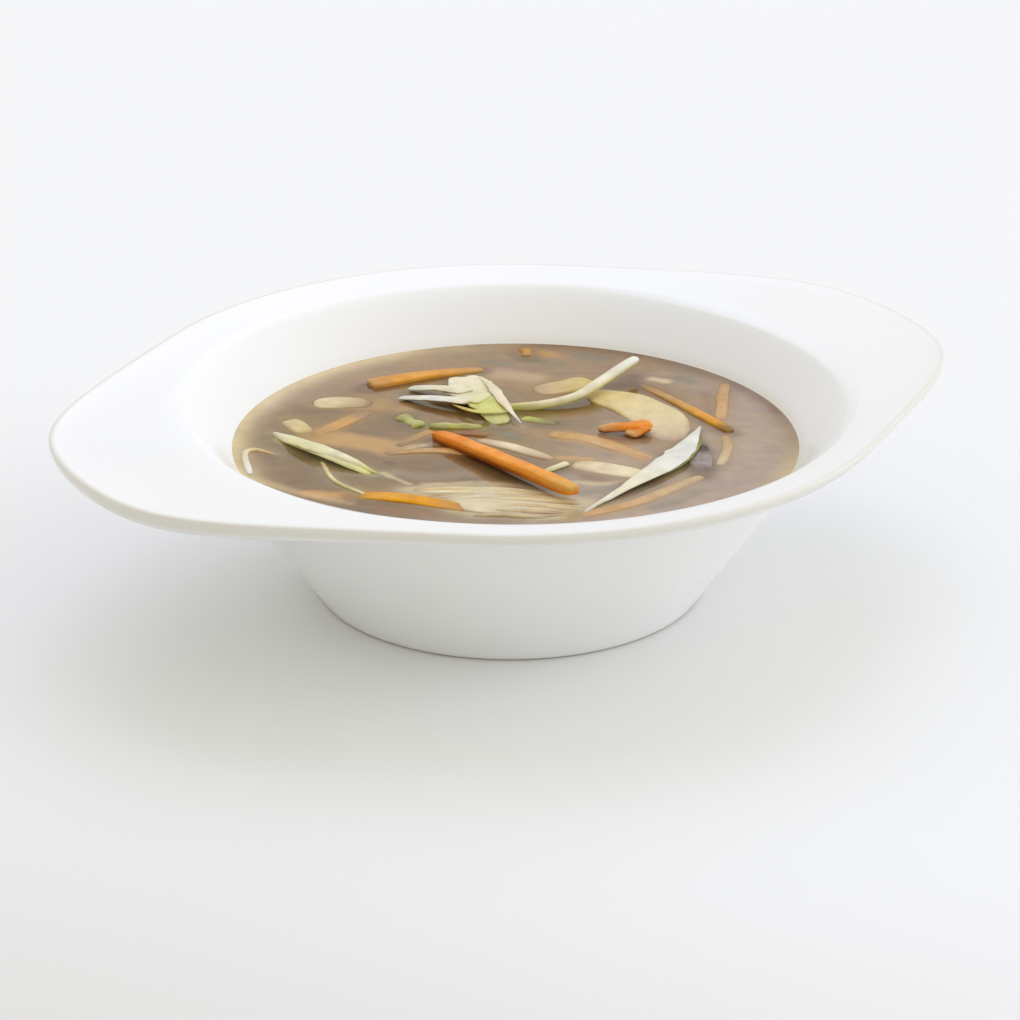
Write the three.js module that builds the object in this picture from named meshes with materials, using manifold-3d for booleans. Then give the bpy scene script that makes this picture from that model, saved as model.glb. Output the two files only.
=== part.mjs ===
// A porcelain soup bowl with two broad wings on its rim, filled with a clear brown vegetable soup.
// Millimetres, +Z up. The origin lies under the middle of the base, and the wings point along X.
// The food is placed as the diner sees it: across, away and up, turned about Z by the seat angle.

import * as THREE from 'three';
import { mergeVertices } from 'three/addons/utils/BufferGeometryUtils.js';
import Module from 'manifold-3d';

const wasm = await Module();
wasm.setup();

// Bowl
const footRadius = 41.9; // outer wall radius, carried down to the table
const footWidth = 3.6;
const footRecess = 1.5; // how far the base is raised inside the ring
const wallRun = 0.7; // outward run of the outer wall for each unit of height
const shoulderHeight = 39.4; // where the outer wall turns out under the rim
const floorHeight = 5.2; // top of the floor, inside
const mouthRadius = 71.2;
const mouthHeight = 43.7;
const rimHeight = 45.9;
const rimThickness = 3.3;
const rimRadius = 82.6; // edge of the rim between the wings
const wingReach = 101.7; // edge of the rim at the tip of a wing
const wingDrop = 0.6; // how much lower the tip of a wing lies
const wingRoot = 54; // degrees from the wing's middle line to where its straight side leaves the round
const cornerSharpness = 17;
const edgeRound = 0.7; // rounding of the foot and of the rim's edge
const lipRound = 1; // rounding where the inner wall turns out into the rim
const floorRadius = 26; // flat part of the floor
const floorCurveHeight = 16; // where the inner wall starts to curve into the floor
const bowlSegments = 100;

// Soup
const soupLevel = 33.1;
const soupRadius = 61.1; // radius of the inner wall at the soup's level
const soupSegments = 60;
const gap = 0.3; // clearance between neighbouring solids
const seatAngle = THREE.MathUtils.degToRad(-29.5);

// Colours
const porcelain = 0xf2f2f1;
const broth = 0xa98f7c;
const carrot = 0xe28a33;
const stewedCarrot = 0xc79a62;
const cabbage = 0xeae4d2;
const cabbageHeart = 0xd6d592;
const leekGreen = 0xa3a657;
const bamboo = 0xe2cf9f;
const noodle = 0xd8c79a;
const mushroom = 0x71645c;

// Roughness of each finish
const glazed = 0.15;
const wet = 0.1;
const moist = 0.45;

/** Edge of the rim at an angle: a circle with straight tangent sides, cut by an arc round the bowl. */
function rimEdge(angle) {
  const turned = Math.abs(Math.atan2(Math.sin(angle), Math.cos(angle)));
  const fromWing = Math.min(turned, Math.PI - turned);
  const root = THREE.MathUtils.degToRad(wingRoot);
  const side = fromWing < root ? rimRadius / Math.cos(root - fromWing) : rimRadius;
  const n = cornerSharpness;
  return Math.pow(Math.pow(side, -n) + Math.pow(wingReach, -n), -1 / n);
}

/** Half section of the round bowl, from the middle of its underside round the rim to its floor. */
function bowlSection() {
  const outerRadius = (z) => footRadius + wallRun * z;
  const underRim = rimHeight - rimThickness;
  const shoulderStart = shoulderHeight - 2 * lipRound;
  const points = [
    [0, footRecess],
    [footRadius - footWidth - edgeRound, footRecess],
    [footRadius - footWidth, 0],
    [footRadius - edgeRound, 0],
    [outerRadius(edgeRound), edgeRound],
    [outerRadius(shoulderStart), shoulderStart],
    [outerRadius(shoulderHeight) + 0.3 * lipRound, shoulderHeight],
    [mouthRadius + 2.6 * lipRound, underRim - 0.9 * lipRound],
    [rimRadius - edgeRound, underRim],
    [rimRadius, underRim + edgeRound],
    [rimRadius, rimHeight - edgeRound],
    [rimRadius - edgeRound, rimHeight],
    [mouthRadius + 3.4 * lipRound, mouthHeight + 1.1 * lipRound],
    [mouthRadius + 0.9 * lipRound, mouthHeight + 0.4 * lipRound],
    [innerRadius(mouthHeight - lipRound), mouthHeight - lipRound],
    [innerRadius(soupLevel), soupLevel],
  ];
  return [...points.map(([r, z]) => new THREE.Vector2(r, z)), ...floorCurve()];
}

/** Radius of the inner wall at a height above the floor's curve. */
function innerRadius(z) {
  return soupRadius + ((mouthRadius - soupRadius) * (z - soupLevel)) / (mouthHeight - soupLevel);
}

/** The inner wall running into the floor: a quarter of an ellipse, in three steps. */
function floorCurve() {
  const steps = 3;
  const reach = innerRadius(floorCurveHeight) - floorRadius;
  const points = [];
  for (let i = 0; i <= steps; i += 1) {
    const turn = (Math.PI / 2) * (i / steps);
    const z = floorCurveHeight - (floorCurveHeight - floorHeight) * Math.sin(turn);
    points.push(new THREE.Vector2(floorRadius + reach * Math.cos(turn), z));
  }
  points.push(new THREE.Vector2(0, floorHeight));
  return points;
}

/** A closed body turned round Z from a half section that starts and ends on the axis. */
function turned(section, segments) {
  const geometry = new THREE.LatheGeometry(section, segments);
  geometry.rotateX(Math.PI / 2);
  return welded(geometry);
}

/** The same shape with shared vertices and nothing but positions. */
function welded(geometry) {
  const bare = geometry.clone();
  bare.deleteAttribute('normal');
  bare.deleteAttribute('uv');
  return mergeVertices(bare, 1e-4);
}

/** The bowl: a round lathe whose rim, outside the mouth, is drawn out to the edge of the wings. */
function bowlGeometry() {
  const geometry = turned(bowlSection(), bowlSegments);
  const position = geometry.attributes.position;
  for (let i = 0; i < position.count; i += 1) {
    const x = position.getX(i);
    const y = position.getY(i);
    const r = Math.hypot(x, y);
    const angle = Math.atan2(y, x);
    const edge = rimEdge(angle);
    const share = Math.max(0, (r - mouthRadius) / (rimRadius - mouthRadius));
    const stretched = share > 0 ? mouthRadius + share * (edge - mouthRadius) : r;
    const drop = (wingDrop * Math.min(share, 1) * (edge - rimRadius)) / (wingReach - rimRadius);
    position.setXYZ(i, Math.cos(angle) * stretched, Math.sin(angle) * stretched, position.getZ(i) - drop);
  }
  return geometry;
}

/** The soup fills the bowl to its level, a gap clear of the wall and the floor. */
function soupGeometry() {
  const top = new THREE.Vector2(soupRadius - gap, soupLevel);
  const below = floorCurve().map((p) => new THREE.Vector2(Math.max(0, p.x - gap), p.y + gap));
  return turned([...below.reverse(), top, new THREE.Vector2(0, soupLevel)], soupSegments);
}

/** Width along a piece, as a share of its full width, for u from 0 to 1. */
const outlines = {
  even: () => 1,
  tapered: (u) => 1 - 0.45 * u,
  widening: (u) => 0.6 + 0.4 * u,
  blade: (u) => 0.16 + 0.84 * Math.pow(Math.sin(Math.PI * Math.pow(u, 0.8)), 1.2),
  fan: (u) => 0.7 + 0.3 * Math.sin(Math.PI * u),
};

/**
 * A morsel: the rings of a sphere carried along a curve. The ring at polar angle a lies at
 * u = (1 - cos a) / 2, and its half width and half depth are scaled by (1 - |2u - 1|^blunt)^(1 / blunt),
 * which makes the ends. Each point of the path is across, away, and how high its top stands over the soup.
 */
function morsel(form) {
  const { path, width, depth, outline = 'even', cup = 0 } = form;
  const { blunt = 7, corner = 0.5, sides = 8, rings = 6 } = form;
  const geometry = welded(new THREE.SphereGeometry(1, sides, rings));
  const position = geometry.attributes.position;
  const middle = soupLevel - depth / 2;
  const points = path.map(([across, away, top]) => new THREE.Vector3(across, away, middle + top));
  const curve = new THREE.CatmullRomCurve3(points, false, 'catmullrom');
  const halfStep = Math.PI / sides;
  for (let i = 0; i < position.count; i += 1) {
    const u = THREE.MathUtils.clamp((1 - position.getY(i)) / 2, 0, 1);
    const centre = curve.getPoint(u);
    const along = curve.getTangent(u);
    const side = new THREE.Vector3(-along.y, along.x, 0).normalize();
    const up = along.clone().cross(side).normalize();
    const end = Math.pow(Math.max(0, 1 - Math.pow(Math.abs(2 * u - 1), blunt)), 1 / blunt);
    const turn = Math.atan2(position.getZ(i), position.getX(i)) + halfStep;
    const across = squared(Math.cos(turn), corner) * end * outlines[outline](u);
    const lift = squared(Math.sin(turn), corner) * end * (depth / 2) - cup * (1 - across * across);
    centre.addScaledVector(side, (across * width) / 2).addScaledVector(up, lift);
    position.setXYZ(i, centre.x, centre.y, centre.z);
  }
  return facingOut(geometry);
}

/** A sine or cosine pushed towards one by an exponent under one, which squares a round section. */
function squared(value, exponent) {
  return Math.sign(value) * Math.pow(Math.abs(value), exponent);
}

/** Turns the faces of a closed shape round if its signed volume is negative. */
function facingOut(geometry) {
  const position = geometry.attributes.position;
  const index = geometry.index;
  const corners = [new THREE.Vector3(), new THREE.Vector3(), new THREE.Vector3()];
  let volume = 0;
  for (let i = 0; i < index.count; i += 3) {
    corners.forEach((corner, k) => corner.fromBufferAttribute(position, index.getX(i + k)));
    volume += corners[0].dot(corners[1].clone().cross(corners[2])) / 6;
  }
  for (let i = 0; volume < 0 && i < index.count; i += 3) {
    const first = index.getX(i);
    index.setX(i, index.getX(i + 1));
    index.setX(i + 1, first);
  }
  return geometry;
}

/** The shape grown by the gap along its vertex normals, to cut clearance with. */
function swollen(geometry, amount = gap) {
  const grown = geometry.clone();
  grown.computeVertexNormals();
  const { position, normal } = grown.attributes;
  for (let i = 0; i < position.count; i += 1) {
    const x = position.getX(i) + normal.getX(i) * amount;
    const y = position.getY(i) + normal.getY(i) * amount;
    position.setXYZ(i, x, y, position.getZ(i) + normal.getZ(i) * amount);
  }
  return grown;
}

function solidOf(geometry) {
  const bare = welded(geometry);
  const vertProperties = Float32Array.from(bare.attributes.position.array);
  const triVerts = Uint32Array.from(bare.index.array);
  return new wasm.Manifold(new wasm.Mesh({ numProp: 3, vertProperties, triVerts }));
}

function geometryOf(solid) {
  const mesh = solid.getMesh();
  const geometry = new THREE.BufferGeometry();
  geometry.setAttribute('position', new THREE.BufferAttribute(Float32Array.from(mesh.vertProperties), 3));
  geometry.setIndex(new THREE.BufferAttribute(Uint32Array.from(mesh.triVerts), 1));
  return geometry;
}

/** The largest body of a solid, without the scraps that a cut leaves. */
function largest(solid) {
  const bodies = solid.decompose();
  return bodies.reduce((best, body) => (body.volume() > best.volume() ? body : best), bodies[0]);
}

/** The bundle of pale strands at the front: strands side by side, fused to a flat core under them. */
function noodleBundle() {
  const strandCount = 6;
  const farRow = -29.5; // how far away the farthest strand lies
  const rowsDeep = 12.5;
  const core = { path: [[-8, -35, -0.8], [1, -36.5, -0.8], [10, -37.5, -0.8]], width: 10, depth: 1.6 };
  const strand = { width: 2.4, depth: 1.8, sides: 6, blunt: 4, corner: 0.9 };
  let bundle = solidOf(morsel({ ...core, outline: 'fan' }));
  for (let k = 0; k < strandCount; k += 1) {
    const share = k / (strandCount - 1);
    const left = -21 + 17 * share + 2 * Math.sin(5 * k);
    const right = 8 + 5 * Math.sin(Math.PI * share) + 1.5 * Math.cos(4 * k);
    const away = farRow - rowsDeep * share;
    const path = [
      [left, away + Math.sin(3 * k), -0.15],
      [(left + right) / 2, away + 1, 0.25 + 0.2 * Math.sin(2 * k)],
      [right, away - 2 * (1 - share), -0.15],
    ];
    bundle = bundle.add(solidOf(morsel({ path, ...strand })));
  }
  return geometryOf(largest(bundle));
}

// Each piece of the garnish, the highest first: a lower piece is cut clear of those that lie on it.
const garnish = [
  { name: 'carrot_stick_main', colour: carrot, width: 3.6, depth: 3.3,
    path: [[-15.8, 0.6, 2.4], [-1.2, -17.6, 3.5], [13.4, -35.6, 4.1]] },
  { name: 'leek_stalk', colour: cabbage, width: 2.9, depth: 2.2, outline: 'widening',
    corner: 0.8, rings: 9,
    path: [[-0.4, 18.2, 1.5], [7, 18.6, 2], [14.5, 21.6, 2.8], [20.4, 28, 4], [28.6, 40, 5]] },
  { name: 'cabbage_strip_upper', colour: cabbage, width: 4, depth: 1.1,
    path: [[-22, 30.4, 1], [-12.6, 25, 2.8]] },
  { name: 'cabbage_strip_lower', colour: cabbage, width: 3.8, depth: 1.1,
    path: [[-24, 24.4, 1], [-12.2, 19.4, 2.4]] },
  { name: 'carrot_chunk', colour: carrot, width: 4, depth: 2, blunt: 4,
    path: [[21.4, 3.2, 2.2], [26, 3.4, 2.8], [29.6, 5.2, 2.6]] },
  { name: 'cabbage_heart', colour: cabbageHeart, width: 8.6, depth: 1.3, outline: 'fan', cup: 0.5,
    path: [[-10.2, 38.6, 1.3], [-7.8, 28.6, 2], [-5, 18.6, 2], [-1.6, 9.6, 0.9]] },
  { name: 'leek_blade_left', colour: cabbage, width: 4.2, depth: 1.6, outline: 'blade', corner: 0.7,
    path: [[-51.4, 3.4, 0.9], [-44, -6, 2.1], [-35.6, -13.2, 2], [-27.4, -19.8, 0.2]] },
  { name: 'cabbage_blade_right', colour: cabbage, width: 7.6, depth: 1.1, outline: 'blade',
    corner: 0.7, rings: 10,
    path: [[41.8, 6.4, 0.9], [38.6, -7.4, 1.5], [33.8, -15.8, 1.5], [25, -27, 1.4], [15.4, -40, 0.7]] },
  { name: 'leek_edge_shred', colour: cabbage, width: 1.7, depth: 1, outline: 'widening',
    corner: 0.8, sides: 6, rings: 10,
    path: [[-50.2, -8.5, 0.3], [-54.6, -6, 0.5], [-56.8, -8.5, 0.6], [-55, -20, 0.6]] },
  { name: 'bamboo_slice_big', colour: bamboo, width: 12.5, depth: 2.6, outline: 'fan',
    path: [[18.6, 27.6, 1.4], [29, 19, 1], [34.4, 7, 0.4], [34.4, -4, 0]] },
  { name: 'bamboo_slice_back', colour: bamboo, width: 7, depth: 2.4,
    path: [[5.4, 29.6, 0.6], [13, 32.6, 0.9], [17.6, 37.6, 0.7]] },
  { name: 'bamboo_slice_front', colour: bamboo, width: 6.4, depth: 2.2,
    path: [[13, -13.6, 0.2], [21, -16.8, 0.3], [29.4, -20.6, 0.3]] },
  { name: 'bamboo_slice_left', colour: bamboo, width: 7.6, depth: 2.4, outline: 'tapered',
    path: [[-43.6, 22, 0.7], [-36, 22.4, 0.5], [-27, 21.6, 0]] },
  { name: 'bamboo_slice_edge', colour: bamboo, width: 4.8, depth: 2,
    path: [[-47.6, 11.6, 0.4], [-44.4, 4.4, 0.2]] },
  { name: 'bamboo_strip_middle', colour: bamboo, width: 3.8, depth: 1.8,
    path: [[-7.4, 0.4, 0.3], [1, -4.8, 0.5], [9.4, -11.4, 0.3]] },
  { name: 'leek_bit', colour: cabbage, width: 2, depth: 1.3,
    path: [[7.4, -18.4, 0.5], [12.4, -14.2, 0.7]] },
  { name: 'carrot_stick_back', colour: carrot, width: 5, depth: 2.6, outline: 'tapered',
    path: [[-31.4, 33, 1.3], [-19, 39, 1.1], [-6, 43.8, 0.5]] },
  { name: 'carrot_stick_front', colour: carrot, width: 4.6, depth: 2.6,
    path: [[-31.5, -31, 0.1], [-20.5, -33.6, 0.3], [-8.6, -38.6, 0]] },
  { name: 'carrot_stick_right', colour: carrot, width: 2.6, depth: 2.2,
    path: [[29.4, 34.6, 0], [39.2, 19.6, 0.4], [48.2, 4.8, 0.6]] },
  { name: 'carrot_stick_far', colour: stewedCarrot, width: 2.3, depth: 2, rings: 7,
    path: [[49, 34, 0.4], [47, 24, 0.4], [46.2, 12, 0.1]] },
  { name: 'carrot_strip_middle', colour: stewedCarrot, width: 4.8, depth: 2,
    path: [[7.4, 4.2, 0], [18, 0, 0.1], [30.4, -11.6, 0]] },
  { name: 'carrot_strip_left', colour: stewedCarrot, width: 4.4, depth: 2,
    path: [[-41.4, 3.4, 0], [-36, 10.4, 0.1], [-31, 16.6, 0]] },
  { name: 'carrot_strip_low', colour: stewedCarrot, width: 2.8, depth: 1.8,
    path: [[-27.4, -8, 0], [-15, -6.2, 0.2], [-5.4, -9, 0.1]] },
  { name: 'carrot_shred', colour: stewedCarrot, width: 2.8, depth: 1.8,
    path: [[-24.4, -4, 0], [-16.8, 6, 0.1]] },
  { name: 'carrot_stub', colour: stewedCarrot, width: 3, depth: 2,
    path: [[-12.6, 4.2, 0.2], [-4.6, 3.2, 0.3]] },
  { name: 'carrot_bit_back', colour: carrot, width: 4, depth: 2,
    path: [[3.4, 57.8, 0.2], [4.8, 53.2, 0.2]] },
  { name: 'leek_green_chunk', colour: leekGreen, width: 3.4, depth: 1.8,
    path: [[-23.6, 14.4, 0.6], [-19.8, 7.6, 0.8]] },
  { name: 'leek_green_strand', colour: leekGreen, width: 2.3, depth: 1.5, sides: 6, rings: 7,
    path: [[-17.6, 7.6, 0.8], [-12, 7.4, 1], [-6, 7.9, 0.6]] },
  { name: 'leek_green_right', colour: leekGreen, width: 3.2, depth: 1.6,
    path: [[2.6, 13, 0.5], [11, 10, 0.4]] },
  { name: 'leek_tendril', colour: noodle, width: 1.1, depth: 0.9, sides: 6, rings: 8, corner: 0.9,
    path: [[-40.1, -12.8, 0.3], [-36.8, -23.6, 0.4], [-30.2, -31, 0.3]] },
  { name: 'noodle_strip_front', colour: noodle, width: 3.6, depth: 1.6,
    path: [[14.6, -42.6, 0.1], [26.4, -35.2, 0.2], [40.8, -20.6, 0.1]] },
  { name: 'noodle_strip_right', colour: noodle, width: 2.3, depth: 1.5,
    path: [[46.8, 2.4, 0.1], [47, -5, 0.2], [44.8, -14.6, 0.1]] },
  { name: 'mushroom_slice', colour: mushroom, width: 4.6, depth: 1.8,
    path: [[40.6, -2, 0.1], [40.8, -10, 0.1], [41.2, -18.4, 0.1]] },
];

function addMesh(parent, name, geometry, colour, roughness) {
  const material = new THREE.MeshStandardMaterial({ color: colour, roughness, metalness: 0 });
  const mesh = new THREE.Mesh(geometry, material);
  mesh.name = name;
  parent.add(mesh);
}

/** The garnish and the soup round it, each cut clear of what lies higher in the list. */
function addContents(parent) {
  let soup = solidOf(soupGeometry());
  const higher = [];
  const pieces = garnish.map(({ name, colour, ...form }) => ({ name, colour, geometry: morsel(form) }));
  pieces.push({ name: 'noodle_bundle', colour: noodle, geometry: noodleBundle() });
  for (const { name, colour, geometry } of pieces) {
    let solid = solidOf(geometry);
    higher.forEach((cutter) => {
      solid = solid.subtract(cutter);
    });
    solid = largest(solid);
    const cutter = solidOf(swollen(geometry));
    higher.push(cutter);
    soup = soup.subtract(cutter);
    addMesh(parent, name, geometryOf(solid), colour, moist);
  }
  addMesh(parent, 'soup', geometryOf(largest(soup)), broth, wet);
}

const bowlOfSoup = new THREE.Group();
addMesh(bowlOfSoup, 'bowl', bowlGeometry(), porcelain, glazed);
const contents = new THREE.Group();
contents.rotation.z = seatAngle;
addContents(contents);
bowlOfSoup.add(contents);

export default bowlOfSoup;
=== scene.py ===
# A winged porcelain bowl filled with brown vegetable soup. Metres, +Z up, the wings along X.
# The food is worked out as the diner sees it: millimetres across, away, and above the soup.
import math
import bpy
import numpy as np
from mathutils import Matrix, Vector


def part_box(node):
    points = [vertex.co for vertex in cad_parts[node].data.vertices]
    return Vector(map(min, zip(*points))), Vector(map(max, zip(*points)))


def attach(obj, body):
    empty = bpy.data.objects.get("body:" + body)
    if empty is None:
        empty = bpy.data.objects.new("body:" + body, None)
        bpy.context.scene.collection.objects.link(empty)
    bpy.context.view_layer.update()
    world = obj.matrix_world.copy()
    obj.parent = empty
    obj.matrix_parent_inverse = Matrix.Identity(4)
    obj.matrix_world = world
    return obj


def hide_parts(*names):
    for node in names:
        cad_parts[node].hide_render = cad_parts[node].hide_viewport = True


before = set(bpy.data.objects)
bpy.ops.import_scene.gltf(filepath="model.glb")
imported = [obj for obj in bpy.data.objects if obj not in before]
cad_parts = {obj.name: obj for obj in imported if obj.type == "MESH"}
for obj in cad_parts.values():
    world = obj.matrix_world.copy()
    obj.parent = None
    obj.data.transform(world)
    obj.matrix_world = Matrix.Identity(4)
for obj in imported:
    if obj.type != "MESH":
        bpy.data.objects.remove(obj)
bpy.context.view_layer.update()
print("frame loaded:", len(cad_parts), "nodes")

mm = 0.001
seatTurn = math.radians(-29.5)  # the diner's frame is turned this far about Z
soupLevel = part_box("soup")[1].z / mm
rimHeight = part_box("bowl")[1].z / mm
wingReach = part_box("bowl")[1].x / mm
soupRadius = 61.1  # of the inner wall at the soup's level
wallLean = 0.953  # how far the inner wall leans out for each unit of height
floorTop = 16  # where the inner wall ends and the curve of the floor begins
hollowShift = (1.3, -0.6)  # of the bowl's inside from the middle of its foot, across and away


# Small helpers: colours, blends and noise.

palette = {  # display colours, 0 to 255
    "brothMauve": (171, 149, 131), "brothOlive": (139, 110, 72), "brothGold": (212, 190, 142),
    # on the next line, the first two browns are painted shadows on the soup (the wall's at the back right
    # and the garnish's), and the third is the painted shadow under the main carrot
    "brothWallShade": (122, 88, 42), "brothCastShadow": (92, 60, 26), "brothRust": (100, 52, 18),
    "brothTeal": (118, 112, 90), "brothShade": (124, 84, 50),
    "carrotBright": (240, 160, 56), "carrotDeep": (226, 138, 34), "carrotAmber": (226, 162, 4),
    "carrotTan": (206, 160, 92), "carrotStewed": (216, 174, 112), "carrotPink": (204, 158, 98),
    # carrotUnder, on the next line, is also the painted shade on the carrots' lower sides
    "carrotHoney": (216, 167, 80), "carrotUnder": (156, 82, 16), "carrotOlive": (150, 108, 40),
    "carrotGold": (222, 162, 66),
    "leafWhite": (226, 224, 213), "leafCream": (228, 219, 187), "leafBlush": (234, 216, 188),
    "leafPale": (221, 215, 164), "leafHeart": (205, 204, 112), "leafUnder": (210, 204, 128),
    "leafShade": (186, 180, 156),
    "green": (170, 172, 84), "greenPale": (200, 196, 136), "greenDark": (104, 102, 50),
    "greenTeal": (108, 118, 92),
    "bambooCream": (218, 202, 156), "bambooYellow": (220, 196, 126), "bambooGold": (206, 168, 84),
    "bambooPale": (234, 220, 184), "bambooBlush": (222, 194, 156),
    "noodlePale": (225, 205, 158), "noodleTan": (208, 176, 122), "noodleWhite": (231, 217, 181),
    "mushroomDark": (84, 64, 44), "mushroomGrey": (164, 148, 142),
}


def paint(name):
    # display colour to linear light
    c = np.array(palette[name]) / 255
    return np.where(c <= 0.04045, c / 12.92, ((c + 0.055) / 1.055) ** 2.4)


def shades(names, u):
    # the named colours evenly spaced over u from 0 to 1, mixed between neighbours
    stops = np.array([paint(name) for name in names.split()])
    at = np.linspace(0, 1, len(stops))
    return np.stack([np.interp(u, at, stops[:, k]) for k in range(3)], axis=-1)


def course(values, u):
    # numbers evenly spaced over u from 0 to 1, with straight stretches between them
    values = np.atleast_1d(values)
    return np.interp(u, np.linspace(0, 1, len(values)), values)


def smooth(low, high, x):
    # 0 at low, 1 at high, with an S curve between
    t = np.clip((x - low) / (high - low), 0, 1)
    return t * t * (3 - 2 * t)


def mix(a, b, share):
    # two colours mixed by a share at each point
    return a + (b - a) * np.asarray(share)[..., None]


def mottle(x, y, seed, size):
    # value noise from -1 to 1: random heights on a square lattice, blended smoothly between its points
    lattice = np.random.default_rng(seed).uniform(-1, 1, (64, 64))
    x, y = x / size + 7.3, y / size + 3.1
    i, j = np.floor(x).astype(int), np.floor(y).astype(int)
    a, b = smooth(0, 1, x - i), smooth(0, 1, y - j)
    near = lattice[i % 64, j % 64] * (1 - a) + lattice[(i + 1) % 64, j % 64] * a
    far = lattice[i % 64, (j + 1) % 64] * (1 - a) + lattice[(i + 1) % 64, (j + 1) % 64] * a
    return near * (1 - b) + far * b


def cloudy(x, y, seed, size):
    # two sizes of mottle added up
    return 0.65 * mottle(x, y, seed, size) + 0.35 * mottle(x, y, seed + 1, size * 0.43)


# Meshes from grids of points.

def closedShell(rings):
    # rings x columns of points; each end is closed by a fan round the middle of its ring
    rows, columns = rings.shape[:2]
    points = np.concatenate([rings.reshape(-1, 3), rings[0].mean(0)[None], rings[-1].mean(0)[None]])
    index = np.arange(rows * columns).reshape(rows, columns)
    beside = np.roll(index, -1, axis=1)
    quads = np.stack([index[:-1], beside[:-1], beside[1:], index[1:]], axis=-1).reshape(-1, 4)
    start, end = np.full(columns, rows * columns), np.full(columns, rows * columns + 1)
    fans = np.concatenate([np.stack([start, beside[0], index[0]], -1),
                           np.stack([end, index[-1], beside[-1]], -1)])
    corners = points[np.concatenate([quads[:, [0, 1, 2]], quads[:, [0, 2, 3]], fans])]
    volume = np.einsum("ij,ij->i", corners[:, 0], np.cross(corners[:, 1], corners[:, 2])).sum()
    if volume < 0:
        quads, fans = quads[:, ::-1], fans[:, ::-1]
    return points, quads.tolist() + fans.tolist()


def withEnds(values):
    # the same layout as closedShell's points, for a colour or vector at each point of the rings
    ends = values[0].mean(0)[None], values[-1].mean(0)[None]
    return np.concatenate([values.reshape(-1, values.shape[-1]), *ends])


def makePiece(name, shells, material, slot, *nodes):
    # one mesh of several closed shells, with its colours as "tone" and its unrolled place as "grain"
    points, faces, tones, grains, count = [], [], [], [], 0
    for shell in shells:
        own, ownFaces = closedShell(shell["rings"])
        points.append(own)
        faces += [[i + count for i in face] for face in ownFaces] if count else ownFaces
        tones.append(withEnds(shell["tone"]))
        grains.append(withEnds(shell["grain"]))
        count += len(own)
    mesh = bpy.data.meshes.new(name)
    mesh.from_pydata((np.concatenate(points) * mm).tolist(), [], faces)
    mesh.shade_smooth()
    tones = np.clip(np.concatenate(tones), 0, 1)
    tones = np.concatenate([tones, np.ones((len(tones), 1))], axis=1).astype(np.float32)
    mesh.attributes.new("tone", "FLOAT_COLOR", "POINT").data.foreach_set("color", tones.ravel())
    grains = np.concatenate(grains).astype(np.float32)
    mesh.attributes.new("grain", "FLOAT_VECTOR", "POINT").data.foreach_set("vector", grains.ravel())
    mesh.materials.append(material)
    piece = bpy.data.objects.new(name, mesh)
    bpy.context.scene.collection.objects.link(piece)
    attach(piece, "root")
    if nodes:
        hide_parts(*nodes)
    return piece


def seated(x, y, turn=seatTurn):
    # from across and away to the row's x and y, or back again with the opposite turn
    c, s = math.cos(turn), math.sin(turn)
    return c * x - s * y, s * x + c * y


hollowMiddle = seated(*hollowShift)


def roundHollow(radius, angle, share=1):
    # points on circles about Z, moved this share of the way to the hollow's own middle
    return (radius * np.cos(angle) + share * hollowMiddle[0],
            radius * np.sin(angle) + share * hollowMiddle[1])


# Materials.

def addNode(tree, kind, inputs=(), **settings):
    # a node with its settings; an input is a number, a colour or the socket that feeds it
    node = tree.nodes.new(kind)
    for key, value in settings.items():
        setattr(node, key, value)
    for key, value in dict(inputs).items():
        if isinstance(value, bpy.types.NodeSocket):
            tree.links.new(value, node.inputs[key])
        else:
            node.inputs[key].default_value = value
    return node


def newGroup(name, inputs, outputs):
    # a node group with named inputs and outputs; its tree, what it is given and what it has to give
    tree = bpy.data.node_groups.new(name, "ShaderNodeTree")
    for label, kind, value in inputs:
        socket = tree.interface.new_socket(label, in_out="INPUT", socket_type="NodeSocket" + kind)
        socket.default_value = value
    for label, kind in outputs:
        tree.interface.new_socket(label, in_out="OUTPUT", socket_type="NodeSocket" + kind)
    return tree, tree.nodes.new("NodeGroupInput").outputs, tree.nodes.new("NodeGroupOutput").inputs


def newMaterial(name):
    material = bpy.data.materials.new(name)
    material.use_nodes = True
    material.node_tree.nodes.clear()
    return material, material.node_tree


def noiseOf(tree, place, scale, detail, **more):
    return addNode(tree, "ShaderNodeTexNoise",
                   {"Vector": place, "Scale": scale, "Detail": detail, **more}).outputs["Fac"]


def rangeOf(tree, value, low, high, bottom=0.0, top=1.0, way="LINEAR"):
    # a value between low and high moved to between bottom and top
    ends = {"From Min": low, "From Max": high, "To Min": bottom, "To Max": top}
    return addNode(tree, "ShaderNodeMapRange", {"Value": value, **ends}, interpolation_type=way).outputs[0]


def blendOf(tree, share, first, second, way="MIX"):
    return addNode(tree, "ShaderNodeMix", {0: share, 6: first, 7: second}, data_type="RGBA",
                   blend_type=way).outputs[2]


def timesOf(tree, first, second):
    return addNode(tree, "ShaderNodeMath", {0: first, 1: second}, operation="MULTIPLY").outputs[0]


def vectorOf(tree, operation, first, second):
    return addNode(tree, "ShaderNodeVectorMath", {0: first, 1: second}, operation=operation).outputs


def deepOf(tree, colour, gamma):
    # the same colour, darker and stronger
    return addNode(tree, "ShaderNodeGamma", {"Color": colour, "Gamma": gamma}).outputs[0]


def bumpOf(tree, strength, distance, height):
    return addNode(tree, "ShaderNodeBump", {"Strength": strength, "Distance": distance,
                                            "Height": height}).outputs[0]


def giveSurface(tree, values):
    # a shader with these values becomes what the material shows
    shader = addNode(tree, "ShaderNodeBsdfPrincipled", values)
    addNode(tree, "ShaderNodeOutputMaterial", {"Surface": shader.outputs[0]})


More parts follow.
